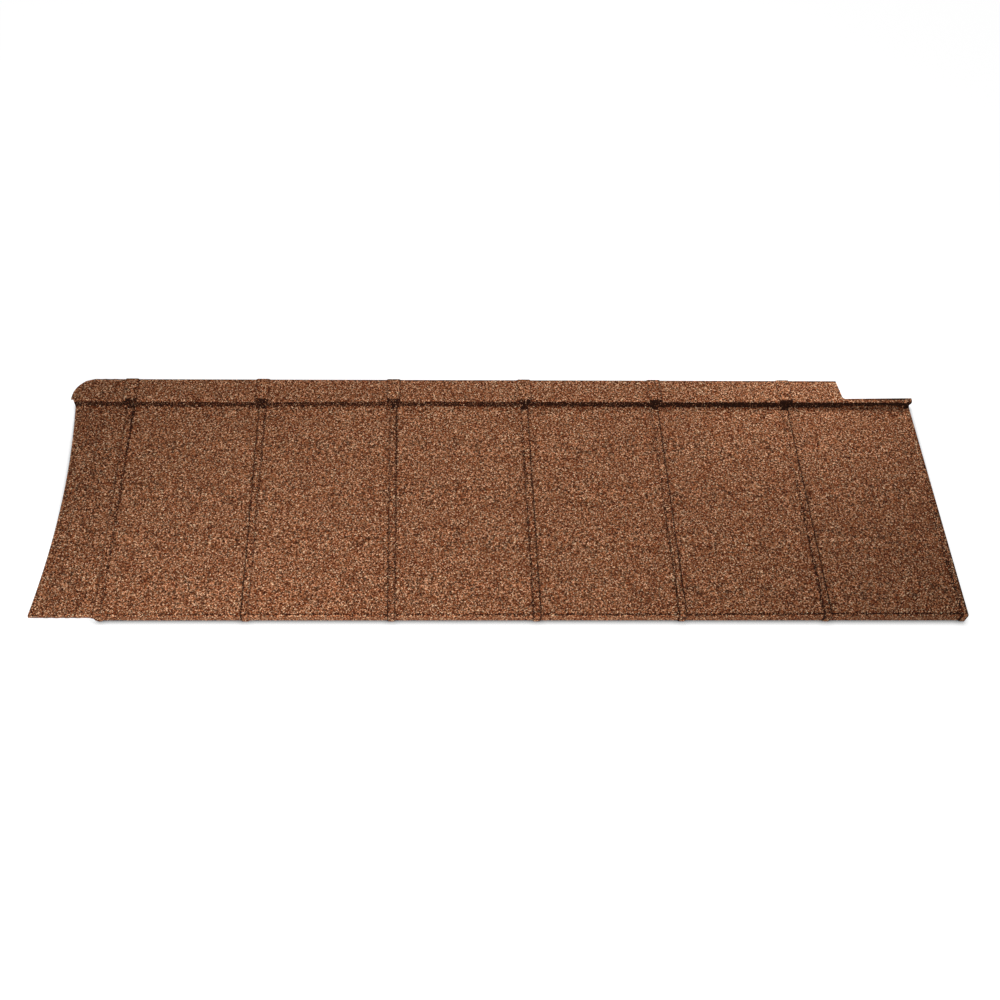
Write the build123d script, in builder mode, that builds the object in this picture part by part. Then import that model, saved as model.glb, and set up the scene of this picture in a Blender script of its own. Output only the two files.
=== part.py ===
from build123d import *
from math import acos, atan2, degrees, hypot, radians, tan
import os

# Tile effect roofing sheet, pressed from one thin steel sheet with stone chips bonded to its weather
# face. X runs along the sheet, Y from the nose up the roof to the batten shelf, Z is up. Lengths are
# in millimetres and angles in degrees.

# Sheet
thickness = 1.6  # steel, primer and the bonded layer of chips together

# Ribs and pans along the sheet
pan_count = 6
rib_pitch = 206.5  # from rib to rib
edge_pitch = 196.0  # from the last inner rib to the rib on the right edge
rib_height = 4.0
rib_foot = 13.0  # width where a rib leaves the pan
rib_crown = 7.5  # width of its flat top
shelf_rib_foot = 23.0  # the inner ribs are wider on the shelf
shelf_rib_crown = 17.0
rib_crown_radius = 2.0
rib_forward = 0.4  # how far a rib stands out from the nose and the riser, as a share of its height
edge_crown = 1.5  # from the middle of the edge rib to the end of its crown
edge_slope = 2.0  # and from there to the sheet's right edge

# Underlap on the left of the first rib, with the low beads that stop water
underlap = 97.0  # from the first rib to the edge, at the nose
waist_drawn_in = 17.0  # how much narrower the underlap is at its narrowest place
rear_drawn_in = 9.4  # and at the riser
waist_at = 0.68  # share of the pan's depth at which the underlap is narrowest
bead_count = 4
bead_pitch = 15.0
bead_start = 27.5  # from the first rib to the middle of the first bead
bead_width = 11.0
bead_crown = 5.0
bead_height = 1.2

# Run of the sheet from the nose to the shelf
pan_depth = 369.0  # from the nose's face to the riser's face
nose_drop = 13.5
nose_radius = 3.0
riser_height = 15.5
riser_foot_radius = 4.5
shelf_radius = 3.0
shelf_depth = 42.5
widening = 0.75  # share of the riser between its bends over which the ribs widen

# Trimmed edges
underlap_nose_drop = 7.5  # the nose is short on the underlap
nose_step_at = 12.0  # from the first rib to where the nose begins to deepen
nose_step_width = 12.0
nose_step_radius = 6.0
shelf_overhang = 4.0  # how far the shelf stands out past the underlap's edge
shelf_end_slant = 5.0  # off square
shelf_corner_radius = 36.0
notch_length = 107.5  # from the right edge to the shelf's cut end
notch_slant = 8.4  # off square
notch_radius = 4.0
lip_depth = 7.0  # what the notch leaves of the shelf

# Places worked out from the sizes
rib_line = [i * rib_pitch for i in range(pan_count)]
edge_rib = rib_line[-1] + edge_pitch
right_edge = edge_rib + edge_crown + edge_slope
underlap_waist, underlap_rear = underlap - waist_drawn_in, underlap - rear_drawn_in
left_end = -max(underlap, underlap_rear + shelf_overhang)
rear_edge = pan_depth + shelf_depth
spare = 2 * (rib_height + thickness)  # how far stock or a cutter runs past a trimmed edge
stock_x = left_end - spare


def path_across(foot, crown):
    """The way across the sheet that its run is carried along: over the beads and the ribs."""
    bumps = [(-bead_start - i * bead_pitch, bead_width, bead_crown, bead_height, 0) for i in range(bead_count)]
    bumps = bumps[::-1] + [(x, foot, crown, rib_height, rib_crown_radius) for x in rib_line]
    # Ribs stand up from the pan and the shelf, and a little forward from the nose and the riser
    lift = hypot(1, rib_forward)
    corners, radii = [], []
    for x, wide, flat, height, radius in bumps:
        corners += [(x - wide / 2, 0), (x - flat / 2, height * lift)]
        corners += [(x + flat / 2, height * lift), (x + wide / 2, 0)]
        radii += [0, radius, radius, 0]
    corners += [(edge_rib - rib_foot / 2, 0), (edge_rib - rib_crown / 2, rib_height * lift)]
    corners += [(edge_rib + edge_crown, rib_height * lift), (right_edge, 0)]
    radii += [0, 0, 0]
    with BuildLine(Plane(origin=(0, 0, 0), x_dir=(1, 0, 0), z_dir=(0, -1, -rib_forward))) as path:
        FilletPolyline((stock_x, 0), *corners, radius=radii)
    return path.line


# The run is seen from the side, and the sheet is cut level between the riser's two bends
bends_apart = riser_height - shelf_radius - riser_foot_radius - rib_height
widen_from = riser_foot_radius + rib_height + (1 - widening) / 2 * bends_apart
widen_to = widen_from + widening * bends_apart

with BuildPart() as pan_stretch:
    with BuildSketch(Plane.YZ.offset(stock_x)):
        with BuildLine():
            nose = Line((0, -nose_drop - spare), (0, -nose_radius))
            nose_bend = JernArc(nose @ 1, nose % 1, nose_radius, -90)
            pan = Line(nose_bend @ 1, (pan_depth - riser_foot_radius, 0))
            foot_bend = JernArc(pan @ 1, pan % 1, riser_foot_radius, 90)
            Line(foot_bend @ 1, (pan_depth, riser_height))
            offset(amount=thickness, side=Side.RIGHT, closed=True)
        make_face()
    sweep(path=path_across(rib_foot, rib_crown), normal=(1, 0, 0))
    split(bisect_by=Plane.XY.offset(widen_from), keep=Keep.BOTTOM)

with BuildPart() as shelf_stretch:
    with BuildSketch(Plane.YZ.offset(stock_x)):
        with BuildLine():
            riser = Line((pan_depth, 0), (pan_depth, riser_height - shelf_radius))
            shelf_bend = JernArc(riser @ 1, riser % 1, shelf_radius, -90)
            Line(shelf_bend @ 1, (rear_edge + spare, riser_height))
            offset(amount=thickness, side=Side.RIGHT, closed=True)
        make_face()
    sweep(path=path_across(shelf_rib_foot, shelf_rib_crown), normal=(1, 0, 0))
    split(bisect_by=Plane.XY.offset(widen_to), keep=Keep.TOP)

with BuildPart() as pressed:
    add(pan_stretch.part)
    cut_ends = [pan_stretch.faces().sort_by(Axis.Z)[-1], shelf_stretch.faces().sort_by(Axis.Z)[0]]
    loft(cut_ends, ruled=True)
    add(shelf_stretch.part)

    # The blank's outline, cut in plan: a hollow left edge, a rounded shelf end and the notch
    step_y = pan_depth + thickness
    shelf_x = -underlap_rear - shelf_overhang
    corner_x = shelf_x + (rear_edge - step_y) * tan(radians(shelf_end_slant))
    lip_y = pan_depth + lip_depth
    notch_x = right_edge - notch_length
    notch_rear_x = notch_x - (rear_edge - lip_y) * tan(radians(notch_slant))
    with BuildSketch(Plane.XY.offset(-nose_drop)):
        with BuildLine():
            edge = Spline((-underlap, 0), (-underlap_waist, waist_at * pan_depth), (-underlap_rear, step_y))
            Line(edge @ 1, (shelf_x, step_y))
            shelf_end = FilletPolyline(
                (shelf_x, step_y), (corner_x, rear_edge), (0, rear_edge), radius=shelf_corner_radius
            )
            notch = FilletPolyline(
                shelf_end @ 1,
                (notch_rear_x, rear_edge),
                (notch_x, lip_y),
                (right_edge + spare, lip_y),
                radius=[0, notch_radius],
            )
            Polyline(notch @ 1, (right_edge + spare, -spare), (-underlap, -spare), edge @ 0)
        make_face()
    extrude(amount=nose_drop + riser_height + spare, mode=Mode.INTERSECT)

    # The nose is cut short on the underlap, so that it doesn't lift the sheet that laps over it
    deep_x = nose_step_width - nose_step_at
    below = -nose_drop - spare
    with BuildSketch(Plane.XZ.offset(spare)):
        with BuildLine():
            nose_step = FilletPolyline(
                (stock_x, -underlap_nose_drop),
                (-nose_step_at, -underlap_nose_drop),
                (deep_x, -nose_drop),
                (deep_x, below),
                radius=[nose_step_radius, 0],
            )
            Polyline(nose_step @ 1, (stock_x, below), nose_step @ 0)
        make_face()
    extrude(amount=-spare - nose_radius, mode=Mode.SUBTRACT)

# The sheet lies on its nose and on the bend at the riser's foot, so its pan leans back a little
heel_radius = riser_foot_radius + thickness
heel_y = pan_depth - riser_foot_radius - thickness
heel_z = nose_drop + riser_foot_radius
lean = degrees(acos(heel_radius / hypot(heel_y, heel_z)) - atan2(heel_y, heel_z))
box = (Rot(X=-lean) * pressed.part).bounding_box()
with BuildPart() as roof_sheet:
    with Locations(Location((-box.center().X, -box.center().Y, -box.min.Z), (-lean, 0, 0))):
        add(pressed.part)
roof_sheet.part.label = "roof_sheet"

os.makedirs("parts", exist_ok=True)
export_step(roof_sheet.part, "parts/roof_sheet.step")
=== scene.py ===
"""Dresses the tile effect roofing sheet: its pressed form, stone chip coat and primed back.

It lies on a white floor in plain studio light.
"""

from __future__ import annotations

import logging
import math
from dataclasses import dataclass, field
from enum import Enum

import bpy
import numpy as np
from mathutils import Matrix, Vector

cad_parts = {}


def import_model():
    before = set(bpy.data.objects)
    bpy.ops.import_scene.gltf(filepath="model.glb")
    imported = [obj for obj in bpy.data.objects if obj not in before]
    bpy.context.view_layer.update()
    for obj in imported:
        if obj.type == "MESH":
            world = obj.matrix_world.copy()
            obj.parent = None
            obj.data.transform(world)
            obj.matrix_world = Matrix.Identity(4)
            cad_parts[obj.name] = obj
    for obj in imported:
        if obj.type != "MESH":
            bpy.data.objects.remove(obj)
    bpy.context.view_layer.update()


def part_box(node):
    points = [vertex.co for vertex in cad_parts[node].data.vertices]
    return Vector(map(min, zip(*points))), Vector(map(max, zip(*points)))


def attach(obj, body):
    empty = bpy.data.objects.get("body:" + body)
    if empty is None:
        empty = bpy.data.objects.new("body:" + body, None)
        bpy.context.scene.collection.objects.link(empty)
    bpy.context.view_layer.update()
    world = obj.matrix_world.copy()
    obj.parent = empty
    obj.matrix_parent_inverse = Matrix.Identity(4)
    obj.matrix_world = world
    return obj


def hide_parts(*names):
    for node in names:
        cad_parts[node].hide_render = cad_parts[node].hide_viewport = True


LOG = logging.getLogger("roof_sheet")
MM = 0.001


def linear(code: str) -> tuple[float, float, float, float]:
    """Turns an sRGB hex colour into linear light.

    Args:
        code: the colour as "#rrggbb".

    Returns:
        Red, green, blue and an alpha of 1.
    """
    parts = [int(code[i : i + 2], 16) / 255 for i in (1, 3, 5)]
    return (*(c / 12.92 if c <= 0.04045 else ((c + 0.055) / 1.055) ** 2.4 for c in parts), 1.0)


def ease(value: np.ndarray | float, start: float, end: float) -> np.ndarray:
    """Rises smoothly from 0 at start to 1 at end.

    Args:
        value: where to look.
        start: where the rise begins.
        end: where it ends.

    Returns:
        The share of the rise at each value.
    """
    share = np.clip((np.asarray(value, float) - start) / (end - start), 0.0, 1.0)
    return share * share * (3.0 - 2.0 * share)


class Nodes:
    """One material's or world's node tree, built node by node."""

    def __init__(self, owner: bpy.types.Material | bpy.types.World) -> None:
        """Empties the owner's tree."""
        owner.use_nodes = True
        self.tree = owner.node_tree
        self.tree.nodes.clear()

    def add(
        self, kind: str, links: dict | None = None, sockets: dict | None = None, **settings: object
    ) -> bpy.types.Node:
        """Adds a node with its settings and links.

        Args:
            kind: the node's type name, without its ShaderNode prefix.
            links: output sockets to join to this node's inputs, by input name or number.
            sockets: plain values for this node's inputs, by name or number.
            settings: the node's own properties.

        Returns:
            The node.
        """
        made = self.tree.nodes.new("ShaderNode" + kind)
        for name, value in settings.items():
            setattr(made, name, value)
        for name, value in (sockets or {}).items():
            made.inputs[name].default_value = value
        for name, output in (links or {}).items():
            self.tree.links.new(output, made.inputs[name])
        return made

    def ramp(self, factor: bpy.types.NodeSocket, stops: tuple[tuple[float, str], ...]) -> bpy.types.NodeSocket:
        """Colours a factor by stops of hex colours.

        Args:
            factor: the output to colour.
            stops: each stop's place and hex colour.

        Returns:
            The colour output.
        """
        made = self.add("ValToRGB", {"Fac": factor})
        elements = made.color_ramp.elements
        while len(elements) < len(stops):
            elements.new(0.5)
        for element, (place, code) in zip(elements, stops):
            element.position, element.color = place, linear(code)
        return made.outputs["Color"]


class Side(Enum):
    """The sides of the sheet, each with its material's index on the mesh."""

    WEATHER = 0
    BACK = 1
    CUT = 2


@dataclass(frozen=True)
class StoneChipCoat:
    """Crushed stone chips bonded in acrylic on steel.

    Opaque gritty grains of mixed browns stand close together with dark gaps between them, and show
    almost no gloss. In tight bends and on steep sides some have come off, and the dark acrylic shows. The same
    dark colour also paints the shade on the riser, on the ribs' sides and in the groove.
    """

    chip_mm: float = 1.25  # a chip's width, as drawn: the photo is too coarse to measure one
    clump_mm: float = 2.7
    relief_mm: float = 0.45
    roughness: float = 0.92
    gloss: float = 0.08
    gap_width: float = 0.16  # the gap beside a chip and the slope of its dome, as shares of a chip
    dome_width: float = 0.35
    clump_middle: tuple[float, float] = (0.25, 0.75)  # the noise's range that is spread out
    clump_shade: tuple[float, float] = (0.2, 1.6)  # how dark and how light clumps make the chips
    loss_and_shade_blur: float = 0.04
    chips: tuple[tuple[float, str], ...] = (
        (0.0, "#420d03"),
        (0.25, "#773d21"),
        (0.55, "#a46944"),
        (0.8, "#d0956e"),
        (1.0, "#f9d4ad"),
    )
    gap: str = "#451a08"
    # the dark acrylic's colour, which also paints shade on the riser, the ribs' sides and the groove
    bare_acrylic_and_shade: str = "#24120a"

    def material(self) -> bpy.types.Material:
        """Makes the material.

        Returns:
            The chip coat.
        """
        made = bpy.data.materials.new("stone_chip_coat")
        n = Nodes(made)
        place = n.add("TexCoord").outputs["Object"]
        grit = {"Scale": 1 / (self.chip_mm * MM), "Randomness": 1.0}
        cell = n.add("TexVoronoi", {"Vector": place}, grit)
        edge = n.add("TexVoronoi", {"Vector": place}, grit, feature="DISTANCE_TO_EDGE")
        chance = n.add("SeparateColor", {"Color": cell.outputs["Color"]})
        chip = n.ramp(chance.outputs["Red"], self.chips)
        # Mix has colour and number sockets of one name, so they go by number: 6 and 7 in, 2 out
        far = edge.outputs["Distance"]
        depth = n.add("MapRange", {"Value": far}, {"From Max": self.gap_width}).outputs["Result"]
        coat = n.add("Mix", {0: depth, 7: chip}, {6: linear(self.gap)}, data_type="RGBA").outputs[2]
        # clumps about two chips wide catch more light than the chips between them
        clump = n.add("TexNoise", {"Vector": place}, {"Scale": 1 / (self.clump_mm * MM), "Detail": 0.0})
        shade = n.add(
            "MapRange",
            {"Value": clump.outputs["Fac"]},
            dict(zip(("From Min", "From Max", "To Min", "To Max"), self.clump_middle + self.clump_shade)),
        )
        coat = n.add(
            "Mix",
            {6: coat, 7: shade.outputs["Result"]},
            {0: 1.0},
            data_type="RGBA",
            blend_type="MULTIPLY",
            clamp_result=True,
        ).outputs[2]
        # by this share the coat turns to the dark acrylic's colour, for chips come off and for painted shade
        bare_and_shade = n.add("Attribute", attribute_name="bare_and_shade").outputs["Fac"]
        lost_and_shaded = n.add("Math", {0: bare_and_shade, 1: chance.outputs["Green"]}, operation="SUBTRACT").outputs[0]
        blur = {"From Min": -self.loss_and_shade_blur, "From Max": self.loss_and_shade_blur}
        lost_and_shaded = n.add("MapRange", {"Value": lost_and_shaded}, blur).outputs["Result"]
        coat = n.add("Mix", {0: lost_and_shaded, 6: coat}, {7: linear(self.bare_acrylic_and_shade)}, data_type="RGBA").outputs[2]
        dome = n.add("MapRange", {"Value": far}, {"From Max": self.dome_width}).outputs["Result"]
        kept = n.add("Math", {1: lost_and_shaded}, {0: 1.0}, operation="SUBTRACT").outputs[0]
        height = n.add("Math", {0: dome, 1: kept}, operation="MULTIPLY").outputs[0]
        bump = n.add("Bump", {"Height": height}, {"Distance": self.relief_mm * MM, "Strength": 1.0})
        body = n.add(
            "BsdfPrincipled",
            {"Base Color": coat, "Normal": bump.outputs["Normal"]},
            {"Roughness": self.roughness, "Specular IOR Level": self.gloss},
        )
        n.add("OutputMaterial", {"Surface": body.outputs["BSDF"]})
        return made


@dataclass(frozen=True)
class PrimedSteel:
    """Zinc-alloy coated steel under a thin epoxy primer: a flat grey-green film with a low sheen."""

    colour: str = "#8b8f8a"
    darker: str = "#82867f"
    cloud_mm: float = 40.0
    roughness: float = 0.55

    def material(self) -> bpy.types.Material:
        """Makes the material.

        Returns:
            The primer.
        """
        made = bpy.data.materials.new("primed_steel")
        n = Nodes(made)
        place = n.add("TexCoord").outputs["Object"]
        cloud = n.add("TexNoise", {"Vector": place}, {"Scale": 1 / (self.cloud_mm * MM), "Detail": 4.0})
        film = n.ramp(cloud.outputs["Fac"], ((0.35, self.darker), (0.65, self.colour)))
        body = n.add("BsdfPrincipled", {"Base Color": film}, {"Roughness": self.roughness})
        n.add("OutputMaterial", {"Surface": body.outputs["BSDF"]})
        return made


@dataclass(frozen=True)
class Station:
    """A place on the run of the weather face, seen from the side, with the face's outward normal there."""

    y: float
    z: float
    ny: float
    nz: float
    drop: float = 0.0  # share of the way down the straight part of the nose
    cut: int = 0  # 1 where the shelf stands out past the underlap, 2 where the notch has cut it too


@dataclass(frozen=True)
class Column:
    """A line along the run, with its place across the sheet on the pan and on the shelf."""

    pan_x: float
    shelf_x: float
    rise: float = 0.0  # share of a rib's height
    bead: float = 0.0  # height of a bead
    rear_wear_and_shade: float = 0.0  # share of chips come off, and of painted shade, at the riser
    front_wear_and_shade: float = 0.0  # and at the nose


@dataclass(frozen=True)
class ChipLossAndShade:
    """Where chips have come off and where shade is painted, from 0 for none to 1 for all, with lengths in
    millimetres along the run.

    The shares were set from how dark the photo is there, so they stand for shade as well.
    """

    # painted shade and chips come off on each rib's left side at the riser and at the nose, and on its right side
    ribs: tuple[tuple[float, float, float, float], ...] = (
        (0.30, 0.08, 0.75, 0.30),
        (0.42, 0.82, 0.60, 0.15),
        (0.15, 0.71, 0.74, 0.42),
        (0.34, 0.76, 0.60, 0.66),
        (0.19, 0.76, 0.75, 0.75),
        (0.15, 0.86, 1.00, 1.00),
        (0.00, 0.75, 0.10, 0.85),
    )
    rib_side_end: float = 0.4  # share of a side's darkening that is left at its foot and at its crown
    rib_crown: float = 0.08
    bead: float = 0.2
    left_end: tuple[float, float] = (200.0, 420.0)  # x over which the look of the left end is given up
    right_end: tuple[float, float] = (300.0, 1000.0)  # x over which the look of the right end is taken on
    # the riser's dark band is painted shade, with chips come off
    riser: float = 0.58
    riser_left: float = 0.1  # what the left end and the right end add to that
    riser_right: float = 0.3
    riser_low: tuple[float, float] = (3.6, 7.0)  # over which it comes in, from the start of the foot's bend
    riser_low_left: float = 3.1  # how much sooner it comes in at the left end
    riser_high: tuple[float, float] = (3.4, 2.4)  # over which it goes out, before the end of the shelf's bend
    riser_high_left: tuple[float, float] = (2.0, 1.8)  # how much sooner it goes out at the left end
    knot: float = 0.84  # painted shade and chips come off where a rib climbs the riser
    knot_right: float = 0.13
    knot_low: tuple[float, float] = (-1.5, 0.5)
    knot_high: tuple[float, float] = (1.0, -1.2)
    last_knot: tuple[float, float] = (1200.0, 1210.0)  # x from which the top of the knot is mostly kept
    last_knot_high: tuple[float, float] = (4.5, 3.5)
    last_knot_kept: float = 0.6
    # painted shade and chips come off in the groove behind the nose
    groove: float = 0.5
    groove_right: float = 0.35
    rear_line: float = 0.5
    rear_line_at: tuple[float, float] = (1.6, 0.8)  # before the shelf's cut edge
    on_shelf: float = 0.5  # share of the ribs' darkening that the shelf is spared


@dataclass
class RoofSheet:
    """The pressed sheet. Sizes are in millimetres, in the upright frame in which its pan is level."""

    thickness: float = 1.6
    pan_count: int = 6
    rib_pitch: float = 206.5
    edge_pitch: float = 196.0
    rib_height: float = 4.0
    rib_foot: float = 13.0
    rib_crown: float = 7.5
    shelf_rib_foot: float = 23.0
    shelf_rib_crown: float = 17.0
    rib_forward: float = 0.4
    edge_crown: float = 2.9
    edge_slope: float = 0.6
    underlap: float = 97.0
    underlap_waist: float = 80.0
    underlap_rear: float = 87.6
    waist_at: float = 0.68
    bead_count: int = 4
    bead_pitch: float = 15.0
    bead_start: float = 27.5
    bead_width: float = 11.0
    bead_height: float = 1.2
    pan_depth: float = 369.0
    nose_drop: float = 13.5
    nose_radius: float = 3.0
    riser_height: float = 15.5
    foot_radius: float = 4.5
    shelf_radius: float = 3.0
    shelf_depth: float = 42.5
    underlap_nose_drop: float = 5.5
    nose_step_at: float = 12.0
    shelf_overhang: float = 4.0
    shelf_end_slant: float = 5.0
    shelf_corner: float = 36.0
    notch_length: float = 107.5
    notch_slant: float = 8.4
    notch_radius: float = 4.0
    lip_depth: float = 7.0
    foot_set_back: float = 3.5
    loss_and_shade: ChipLossAndShade = ChipLossAndShade()
    foot_lift: float = 0.12  # keeps the set-back foot on the floor
    beside_rib: float = 0.8  # from a rib's foot to the flat lines that keep its sides crisp
    groove_at: float = 3.0
    groove_width: float = 1.5
    groove_depth: float = 0.7
    groove_shift: float = 1.2  # how much further back it runs toward the right
    groove_shift_over: tuple[float, float] = (880.0, 1060.0)
    ribs: list[float] = field(init=False)
    right_edge: float = field(init=False)
    rear: float = field(init=False)
    lip: float = field(init=False)
    notch: float = field(init=False)

    def __post_init__(self) -> None:
        """Works out the places that follow from the sizes."""
        self.ribs = [i * self.rib_pitch for i in range(self.pan_count)]
        self.ribs.append(self.ribs[-1] + self.edge_pitch)
        self.right_edge = self.ribs[-1] + self.edge_crown + self.edge_slope
        self.rear = self.pan_depth + self.shelf_depth
        self.lip = self.pan_depth + self.lip_depth
        self.notch = self.right_edge - self.notch_length

    def stations(self) -> list[Station]:
        """Lays out the run from the nose's lower edge to the shelf's rear edge.

        Returns:
            The run's stations in order.
        """
        made: list[Station] = []
        nr, fr, sr = self.nose_radius, self.foot_radius, self.shelf_radius

        def level(start: float, end: float, count: int, z: float) -> None:
            made.extend(Station(float(y), z, 0.0, 1.0) for y in np.linspace(start, end, count, endpoint=False))

        def bend(y: float, z: float, radius: float, start: float, end: float, count: int, out: int) -> None:
            for angle in np.radians(np.linspace(start, end, count, endpoint=False)):
                c, s = float(np.cos(angle)), float(np.sin(angle))
                made.append(Station(y + radius * c, z + radius * s, c * out, s * out))

        made.extend(Station(0.0, -nr, -1.0, 0.0, float(drop)) for drop in np.linspace(1, 0, 6, endpoint=False))
        bend(nr, -nr, nr, 180, 90, 8, 1)
        level(nr, nr + 8, 18, 0.0)
        foot = self.pan_depth - fr
        level(nr + 8, foot - 9, 44, 0.0)
        level(foot - 9, foot, 6, 0.0)
        bend(foot, fr, fr, -90, 0, 9, -1)
        riser = np.linspace(fr, self.riser_height - sr, 8, endpoint=False)
        made.extend(Station(self.pan_depth, float(z), -1.0, 0.0) for z in riser)
        bend(self.pan_depth + sr, self.riser_height - sr, sr, 180, 90, 8, 1)
        # the shelf's overhang begins a sheet's thickness behind the riser's face, in the middle of its bend
        step = next(i for i, s in enumerate(made) if s.z > sr and s.y > self.pan_depth + self.thickness)
        made.insert(step, Station(**{**vars(made[step]), "cut": 0}))
        made[step + 1 :] = [Station(**{**vars(s), "cut": 1}) for s in made[step + 1 :]]
        top = self.riser_height
        for y in np.linspace(self.pan_depth + sr, self.lip, 4):
            made.append(Station(float(y), top, 0.0, 1.0, cut=1))
        for share in 1 - np.cos(np.linspace(0, math.pi / 2, 7)):
            made.append(Station(self.lip + self.notch_radius * float(share), top, 0.0, 1.0, cut=2))
        past = self.lip + self.notch_radius
        for share in 1 - (1 - np.linspace(0, 1, 20)[1:]) ** 2:
            made.append(Station(past + (self.rear - past) * float(share), top, 0.0, 1.0, cut=2))
        return made

    def columns(self) -> list[Column]:
        """Lays out the lines across the sheet, from the left of the underlap to the right edge.

        Returns:
            The columns in order.
        """
        overhang = self.underlap_rear + self.shelf_overhang
        made = [Column(-self.underlap - 1, -overhang - 1), Column(-self.underlap + 2, -self.underlap_rear)]
        half_bead = self.bead_width / 2
        for i in reversed(range(self.bead_count)):
            middle = -self.bead_start - i * self.bead_pitch
            for t in np.linspace(-1, 1, 13):
                x = middle + float(t) * half_bead
                bead = self.bead_height * math.cos(t * math.pi / 2) ** 2
                # the beads' sides are darkened: painted shade, with chips come off
                worn_and_shaded = self.loss_and_shade.bead * abs(math.sin(t * math.pi))
                made.append(Column(x, x, bead=bead, rear_wear_and_shade=worn_and_shaded, front_wear_and_shade=worn_and_shaded))
        for index, rib in enumerate(self.ribs):
            edge = index == self.pan_count
            foot, crown = self.rib_foot / 2, self.rib_crown / 2
            wide_foot = foot if edge else self.shelf_rib_foot / 2
            wide_crown = crown if edge else self.shelf_rib_crown / 2
            last = made[-1]
            count = 5 if index == 0 else 16
            shelf_x = np.linspace(last.shelf_x, rib - wide_foot - self.beside_rib, count + 1)[1:]
            pan_x = np.linspace(last.pan_x, rib - foot - self.beside_rib, count + 1)[1:]
            if edge:
                # two of them frame the notch's inner corner
                nearest = int(np.argmin(np.abs(shelf_x - self.notch - self.notch_radius)))
                shelf_x[nearest] = pan_x[nearest] = self.notch + self.notch_radius
                shelf_x[nearest - 1] = pan_x[nearest - 1] = self.notch - 2
            made.extend(Column(float(a), float(b)) for a, b in zip(pan_x, shelf_x))
            # each rib's sides are darkened: painted shade, with chips come off
            wear_and_shade = self.loss_and_shade.ribs[index]
            for side, at_rear, at_front in ((-1, *wear_and_shade[:2]), (1, *wear_and_shade[2:])):
                steps = np.linspace(0, 1, 8)
                if side > 0 and edge:
                    start, end = rib + self.edge_crown, self.right_edge
                    for t in steps:
                        x = start + (end - start) * float(t)
                        rise = float(1 - ease(t, -0.1, 1.0)) if t < 1 else 0.0
                        made.append(Column(x, x, rise, rear_wear_and_shade=at_rear, front_wear_and_shade=at_front))
                    break
                for t in steps if side < 0 else steps[::-1]:
                    x = rib + side * (foot + (crown - foot) * float(t))
                    wide_x = rib + side * (wide_foot + (wide_crown - wide_foot) * float(t))
                    part = 1.0 if 0.0 < t < 0.9 else self.loss_and_shade.rib_side_end
                    rise = float(ease(t, 0, 1))
                    made.append(Column(x, wide_x, rise, 0.0, part * at_rear, part * at_front))
                if side < 0:
                    for t in (-0.5, 0.0, 0.5):
                        if not (edge and t > 0):
                            top = self.loss_and_shade.rib_crown
                            made.append(Column(rib + t * crown, rib + t * wide_crown, 1.0, 0.0, top, top))
                else:
                    made.append(Column(rib + foot + self.beside_rib, rib + wide_foot + self.beside_rib))
        return made

    def left(self, station: Station) -> float:
        """Says where the sheet's left edge is.

        Args:
            station: the place on the run.

        Returns:
            The lowest x there.
        """
        if station.cut:
            lean = math.radians(self.shelf_end_slant)
            x = -self.underlap_rear - self.shelf_overhang
            step = self.pan_depth + self.thickness
            r = self.shelf_corner
            mid_x = x + (self.rear - step) * math.tan(lean) + r * math.tan((math.pi / 2 - lean) / 2)
            mid_y = self.rear - r
            if station.y > mid_y + r * math.sin(lean):
                return mid_x - math.sqrt(max(0.0, r * r - (station.y - mid_y) ** 2))
            return x + (station.y - step) * math.tan(lean)
        # a parabola through the nose, the waist and the riser
        y = min(max(station.y, 0.0), self.pan_depth + self.thickness)
        b, c = self.waist_at * self.pan_depth, self.pan_depth + self.thickness
        nose = -self.underlap * (y - b) * (y - c) / (b * c)
        waist = -self.underlap_waist * y * (y - c) / (b * (b - c))
        return nose + waist - self.underlap_rear * y * (y - b) / (c * (c - b))

    def right(self, station: Station) -> float:
        """Says where the sheet's right edge is.

        Args:
            station: the place on the run.

        Returns:
            The highest x there.
        """
        if station.cut < 2:
            return self.right_edge
        r = self.notch_radius
        back = max(0.0, self.lip + r - station.y)
        fillet = r - math.sqrt(max(0.0, r * r - back * back))
        return self.notch - (station.y - self.lip) * math.tan(math.radians(self.notch_slant)) + fillet

    def lay_down(self, points: np.ndarray) -> np.ndarray:
        """Leans the upright sheet back on its nose and heel and sets it in the shared frame.

        Args:
            points: the points in the upright frame, in millimetres.

        Returns:
            The points in the shared frame, in metres.
        """
        low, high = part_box("roof_sheet")
        heel_radius = self.foot_radius + self.thickness
        heel_y = self.pan_depth - self.foot_radius - self.thickness
        heel_z = self.nose_drop + self.foot_radius
        lean = math.acos(heel_radius / math.hypot(heel_y, heel_z)) - math.atan2(heel_y, heel_z)
        c, s = math.cos(lean), math.sin(lean)
        x, y, z = points.T
        back = self.rear * c + (self.riser_height + self.rib_height) * s
        low_z = -(self.nose_drop * c + self.thickness * s)
        laid = (x - self.right_edge, y * c + z * s - back, -y * s + z * c - low_z)
        return np.column_stack(laid) * MM + np.array((high.x, high.y, low.z))

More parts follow.
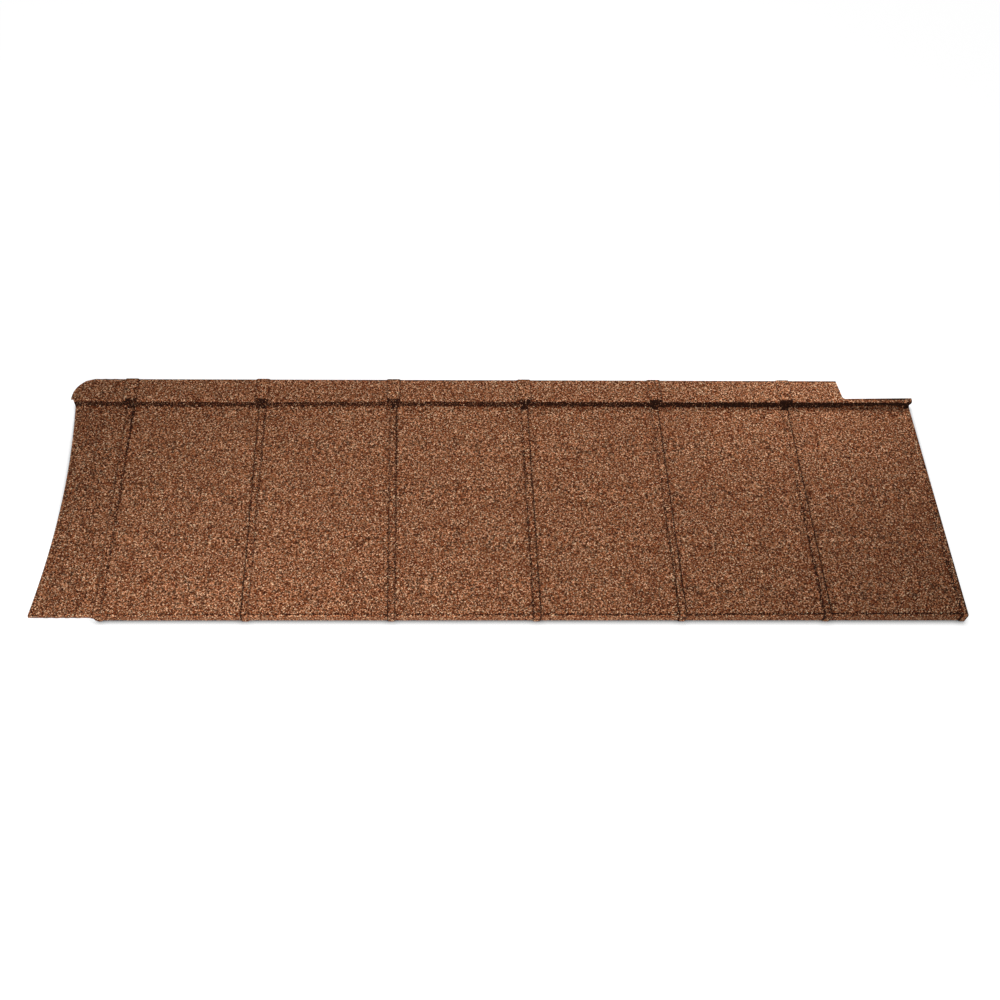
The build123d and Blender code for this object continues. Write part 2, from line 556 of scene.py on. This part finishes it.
    def surface(self) -> tuple[np.ndarray, np.ndarray, np.ndarray]:
        """Works out the grid of points on the weather face and on the back below it.

        Returns:
            The weather face's points, the back's points, and the share of chips come off and of painted shade at
            each.
        """
        rows, cols = self.stations(), self.columns()
        run = np.array([(s.y, s.z, s.ny, s.nz, s.drop) for s in rows])[:, None, :]
        y, z, ny, nz, drop = (run[..., i] for i in range(5))
        across = np.array([(c.pan_x, c.shelf_x, c.rise, c.bead, c.rear_wear_and_shade, c.front_wear_and_shade) for c in cols])[None]
        pan_x, shelf_x, rise, bead, rear_wear_and_shade, front_wear_and_shade = (across[..., i] for i in range(6))
        low = np.array([[self.left(s)] for s in rows])
        high = np.array([[self.right(s)] for s in rows])
        widening = ease(z, self.foot_radius + 1.0, self.riser_height - self.shelf_radius - 1.0)
        widening = np.where(y > self.pan_depth - self.foot_radius, widening, 0.0)
        whole = pan_x + (shelf_x - pan_x) * widening
        x = np.clip(whole, low, high)

        def at_edge(values: np.ndarray) -> np.ndarray:
            # past a trimmed edge the columns gather on it and take the value the sheet has there
            return np.array([np.interp(inside, line, values[0]) for inside, line in zip(x, whole)])

        rise, bead, rear_wear_and_shade, front_wear_and_shade = (at_edge(v) for v in (rise, bead, rear_wear_and_shade, front_wear_and_shade))
        lift = rise * self.rib_height + bead
        shift = self.groove_shift * ease(x, *self.groove_shift_over)
        off = (y - self.groove_at - shift) / self.groove_width
        groove = np.exp(-(off**2)) * (drop == 0) * (z > -self.nose_radius) * ease(x, -14, 0) * (1 - rise)
        sunk = groove * self.groove_depth
        # below the notch the riser leans in, and its foot stands further back
        lean_in = ease(x, self.notch - 2, self.notch + 3)
        lean_in = lean_in * ease(y, self.pan_depth - 10, self.pan_depth - self.foot_radius)
        lean_in = lean_in * (1 - ease(z, 2.0, self.riser_height - self.shelf_radius)) * (y > self.pan_depth / 2)
        top_y = y + self.foot_set_back * lean_in - self.rib_forward * lift - ny * sunk
        top_z = z + lift - nz * sunk + self.foot_lift * lean_in
        step = np.clip((x + self.nose_step_at) / self.nose_step_at, 0.0, 1.0)
        deepens = 0.4 * step * step + 0.6 * step
        foot = -self.underlap_nose_drop - (self.nose_drop - self.underlap_nose_drop) * deepens
        top_z = top_z + (foot - top_z) * drop
        face = np.stack((x, top_y, top_z), 2)
        back = np.stack((x, top_y - ny * self.thickness, top_z - nz * self.thickness), 2)
        worn_and_shaded = front_wear_and_shade + (rear_wear_and_shade - front_wear_and_shade) * np.clip(y / self.pan_depth, 0.0, 1.0)
        # the coat's dark share, for chips come off and for painted shade
        bare_and_shade = self.chip_loss_and_shade(rows, x, y, z, rise, groove, worn_and_shaded)
        return face, back, bare_and_shade

    def chip_loss_and_shade(
        self,
        rows: list[Station],
        x: np.ndarray,
        y: np.ndarray,
        z: np.ndarray,
        rise: np.ndarray,
        groove: np.ndarray,
        worn_and_shaded: np.ndarray,
    ) -> np.ndarray:
        """Says how dark the coat is made at each point, for chips come off and for painted shade: on the riser,
        the ribs, the groove and the rear edge.

        Args:
            rows: the run's stations.
            x: each point's place across the sheet.
            y: each station's place along the sheet.
            z: each station's height.
            rise: each point's share of a rib's height.
            groove: each point's share of the groove's depth.
            worn_and_shaded: the chips come off and the painted shade on the ribs and beads, before the shelf is
                spared.

        Returns:
            The share at each point, for chips come off and for painted shade.
        """
        loss_and_shade = self.loss_and_shade
        steps = np.hypot(np.diff(y[:, 0]), np.diff(z[:, 0]))
        way = np.concatenate(([0.0], np.cumsum(steps)))[:, None]
        heel = way[next(i for i, s in enumerate(rows) if s.y > self.pan_depth / 2 and s.ny < 0)]
        brow = heel + (self.foot_radius + self.shelf_radius) * (math.pi / 2 - 1) + self.riser_height
        leftward, rightward = 1 - ease(x, *loss_and_shade.left_end), ease(x, *loss_and_shade.right_end)
        (low, whole), (fades, ends) = loss_and_shade.riser_low, loss_and_shade.riser_high
        left_fades, left_ends = loss_and_shade.riser_high_left
        riser = ease(way, heel + low - loss_and_shade.riser_low_left * leftward, heel + whole - leftward - rightward)
        riser = riser * (1 - ease(way, brow - fades - left_fades * leftward, brow - ends - left_ends * leftward))
        riser = riser * (loss_and_shade.riser + loss_and_shade.riser_left * leftward + loss_and_shade.riser_right * rightward)
        knot = ease(way, heel + loss_and_shade.knot_low[0], heel + loss_and_shade.knot_low[1])
        knot = knot * (1 - ease(way, brow - loss_and_shade.knot_high[0], brow - loss_and_shade.knot_high[1])) * ease(rise, 0.1, 0.8)
        kept = loss_and_shade.last_knot_kept * ease(x, *loss_and_shade.last_knot)
        kept = kept * ease(way, brow - loss_and_shade.last_knot_high[0], brow - loss_and_shade.last_knot_high[1])
        knot = knot * (loss_and_shade.knot + loss_and_shade.knot_right * rightward) * (1 - kept)
        line = loss_and_shade.rear_line * ease(way, way[-1] - loss_and_shade.rear_line_at[0], way[-1] - loss_and_shade.rear_line_at[1])
        worn_and_shaded = worn_and_shaded * (1 - loss_and_shade.on_shelf * ease(y, self.pan_depth + 2, self.pan_depth + 6))
        in_groove = (loss_and_shade.groove + loss_and_shade.groove_right * rightward) * groove
        return np.maximum.reduce([worn_and_shaded, in_groove, riser, knot, line + 0 * x])

    def mesh(self) -> tuple[np.ndarray, list[tuple[int, ...]], list[int], np.ndarray]:
        """Makes the closed sheet.

        Returns:
            Its points in the upright frame, its faces, each face's side, and the share of chips come off
            and of painted shade at each point.
        """
        face, back, bare_and_shade = self.surface()
        count_v, count_u = face.shape[:2]
        # points that the trimmed edges drew together become one
        grid = np.floor(face.reshape(-1, 3) * 1e4 + 0.37).astype(np.int64)
        _, first, merged = np.unique(grid, axis=0, return_index=True, return_inverse=True)
        merged = merged.reshape(count_v, count_u)
        size = len(first)
        points = np.concatenate((face.reshape(-1, 3)[first], back.reshape(-1, 3)[first]))
        share = np.tile(bare_and_shade.reshape(-1)[first], 2)
        faces: list[tuple[int, ...]] = []
        sides: list[int] = []
        rim: set[tuple[int, int]] = set()
        for j in range(count_v - 1):
            for i in range(count_u - 1):
                ring = [int(merged[p, q]) for p, q in ((j, i), (j, i + 1), (j + 1, i + 1), (j + 1, i))]
                ring = [k for k, before in zip(ring, ring[-1:] + ring[:-1]) if k != before]
                if len(set(ring)) < 3:
                    continue
                faces += [tuple(ring), tuple(k + size for k in reversed(ring))]
                sides += [Side.WEATHER.value, Side.BACK.value]
                for a, b in zip(ring, ring[1:] + ring[:1]):
                    if (b, a) in rim:
                        rim.remove((b, a))
                    else:
                        rim.add((a, b))
        for a, b in sorted(rim):
            faces.append((b, a, a + size, b + size))
            sides.append(Side.CUT.value)
        return points, faces, sides, share

    def build(self, coat: bpy.types.Material, primer: bpy.types.Material) -> bpy.types.Object:
        """Builds and dresses the sheet.

        Args:
            coat: the weather face's finish.
            primer: the finish of the back.

        Returns:
            The sheet's object.
        """
        points, faces, sides, share = self.mesh()
        mesh = bpy.data.meshes.new("roof_sheet_pressed")
        mesh.from_pydata(self.lay_down(points).tolist(), [], faces)
        # the coat wraps the cut edges, as the chips hide the thin steel there
        for material in (coat, primer, coat):
            mesh.materials.append(material)
        mesh.polygons.foreach_set("material_index", sides)
        mesh.polygons.foreach_set("use_smooth", [True] * len(faces))
        mesh.set_sharp_from_angle(angle=math.radians(50))
        # the share of chips come off and of painted shade at each point
        mesh.attributes.new("bare_and_shade", "FLOAT", "POINT").data.foreach_set("value", share)
        piece = bpy.data.objects.new("roof_sheet_pressed", mesh)
        bpy.context.scene.collection.objects.link(piece)
        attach(piece, "root")
        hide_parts("roof_sheet")
        uses: dict[tuple[int, int], int] = {}
        for ring in faces:
            for a, b in zip(ring, ring[1:] + ring[:1]):
                key = (min(a, b), max(a, b))
                uses[key] = uses.get(key, 0) + 1
        open_edges = sum(count != 2 for count in uses.values())
        LOG.info("%s: %d points, %d faces, %d open edges", piece.name, len(points), len(faces), open_edges)
        return piece


@dataclass(frozen=True)
class Lamp:
    """A soft round lamp that looks at a point."""

    name: str
    place: tuple[float, float, float]
    aim: tuple[float, float, float]
    size: float
    power: float

    def build(self) -> bpy.types.Object:
        """Makes the lamp.

        Returns:
            The lamp's object.
        """
        light = bpy.data.lights.new(self.name, "AREA")
        light.shape, light.size, light.energy = "DISK", self.size, self.power
        made = bpy.data.objects.new(self.name, light)
        made.location = self.place
        way = Vector(self.aim) - Vector(self.place)
        made.rotation_euler = way.to_track_quat("-Z", "Y").to_euler()
        made.visible_camera = False
        bpy.context.scene.collection.objects.link(made)
        LOG.info("lamp %s", self.name)
        return made


@dataclass
class Studio:
    """The camera, the pale floor and the soft light. Lengths are in metres and angles in degrees."""

    aim: tuple[float, float, float] = (-0.098106, -0.006191, 0.0)
    distance: float = 1.746608
    elevation: float = 59.135
    yaw: float = 1.726
    roll: float = 1.556
    lens: float = 41.698
    shift: float = 0.07
    sky: float = 0.16
    floor_half: float = 6.0
    floor_white: str = "#f6f6f6"
    floor_glow: float = 0.94
    floor_seen: float = 0.25  # share of the floor's own white that shows beside the glow
    shade_reach_mm: float = 10.0  # how near the sheet must be to shade the floor
    shade_from: float = 0.5  # how open the floor is where the shade is deepest
    shade_least: float = 0.15  # what is left of the glow there
    lamps: tuple[Lamp, ...] = (
        Lamp("front_left", (-0.38, -0.84, 0.91), (-0.3, -0.2, 0.0), 0.45, 11.2),
        Lamp("left", (-0.45, -0.3, 0.35), (-0.42, -0.18, 0.0), 0.25, 0.4),
        Lamp("rear", (0.015, 0.39, 0.68), (0.01, 0.2, 0.0), 0.4, 2.85),
        Lamp("rear_right", (0.54, 0.295, 0.29), (0.5, 0.2, 0.0), 0.22, 0.94),
        Lamp("low_front", (0.1, -0.8, 0.25), (0.1, -0.3, 0.0), 0.4, 2.2),
    )

    def camera(self) -> None:
        """Sets the camera where the photograph was taken from."""
        data = bpy.data.cameras.new("photo_camera")
        data.lens, data.sensor_width, data.shift_x = self.lens, 36.0, self.shift
        made = bpy.data.objects.new("photo_camera", data)
        e, yaw, roll = (math.radians(v) for v in (self.elevation, self.yaw, self.roll))
        ahead = Vector((math.sin(yaw) * math.cos(e), math.cos(yaw) * math.cos(e), -math.sin(e)))
        right = Vector((math.cos(yaw), -math.sin(yaw), 0))
        up = right.cross(ahead)
        c, s = math.cos(roll), math.sin(roll)
        turned = (right * c + up * s, up * c - right * s, -ahead)
        place = Vector(self.aim) - ahead * self.distance
        made.matrix_world = Matrix.Translation(place) @ Matrix(turned).transposed().to_4x4()
        bpy.context.scene.collection.objects.link(made)
        bpy.context.scene.camera = made

    def floor(self) -> None:
        """Lays the white floor, which keeps the sheet's shadow."""
        mesh = bpy.data.meshes.new("floor")
        half = self.floor_half
        corners = [(-half, -half, 0), (half, -half, 0), (half, half, 0), (-half, half, 0)]
        mesh.from_pydata(corners, [], [(0, 1, 2, 3)])
        made = bpy.data.objects.new("floor", mesh)
        bpy.context.scene.collection.objects.link(made)
        finish = bpy.data.materials.new("white_studio_floor")
        n = Nodes(finish)
        # the camera sees it glow white, and the glow fades where the nose stands close over it
        reach = {"Distance": self.shade_reach_mm * MM}
        close = n.add("AmbientOcclusion", sockets=reach, samples=12).outputs["AO"]
        shade = {"From Min": self.shade_from, "To Min": self.shade_least}
        open_air = n.add("MapRange", {"Value": close}, shade).outputs["Result"]
        seen = self._seen(n)
        dim = n.add("MapRange", {"Value": seen}, {"To Min": 1.0, "To Max": self.floor_seen}).outputs["Result"]
        dim = n.add("Math", {0: dim, 1: open_air}, operation="MULTIPLY").outputs[0]
        white = n.add("VectorMath", {"Scale": dim}, {0: linear(self.floor_white)[:3]}, operation="SCALE")
        plain = n.add("BsdfDiffuse", {"Color": white.outputs[0]})
        strength = n.add("Math", {0: seen, 1: open_air}, operation="MULTIPLY")
        pale = (self.floor_glow, self.floor_glow, self.floor_glow, 1.0)
        glow = n.add("Emission", {"Strength": strength.outputs[0]}, {"Color": pale})
        both = n.add("AddShader", {0: plain.outputs[0], 1: glow.outputs[0]})
        n.add("OutputMaterial", {"Surface": both.outputs[0]})
        mesh.materials.append(finish)

    @staticmethod
    def _seen(n: Nodes) -> bpy.types.NodeSocket:
        """Says whether a ray comes from the camera, a reflection or through glass."""
        path = n.add("LightPath").outputs
        seen = n.add("Math", {0: path["Is Camera Ray"], 1: path["Is Glossy Ray"]}, operation="MAXIMUM")
        return n.add("Math", {0: seen.outputs[0], 1: path["Is Transmission Ray"]}, operation="MAXIMUM").outputs[0]

    def world(self) -> None:
        """Lights everything softly from all sides and shows as white."""
        made = bpy.data.worlds.new("studio")
        bpy.context.scene.world = made
        n = Nodes(made)
        soft = n.add("Background", sockets={"Color": (1, 1, 1, 1), "Strength": self.sky})
        white = n.add("Background", sockets={"Color": (1, 1, 1, 1), "Strength": 1.0})
        both = n.add("MixShader", {0: self._seen(n), 1: soft.outputs[0], 2: white.outputs[0]})
        n.add("OutputWorld", {"Surface": both.outputs[0]})

    def build(self) -> None:
        """Sets up the studio."""
        self.floor()
        self.world()
        for lamp in self.lamps:
            lamp.build()
        bpy.context.scene.view_settings.view_transform = "Standard"


def main() -> None:
    """Builds the camera, the sheet and the studio in order."""
    logging.basicConfig(level=logging.INFO, format="%(name)s: %(message)s")
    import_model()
    studio = Studio()
    studio.camera()
    sheet = RoofSheet()
    sheet.build(StoneChipCoat().material(), PrimedSteel().material())
    studio.build()
    bpy.context.view_layer.update()


if __name__ == "__main__":
    main()
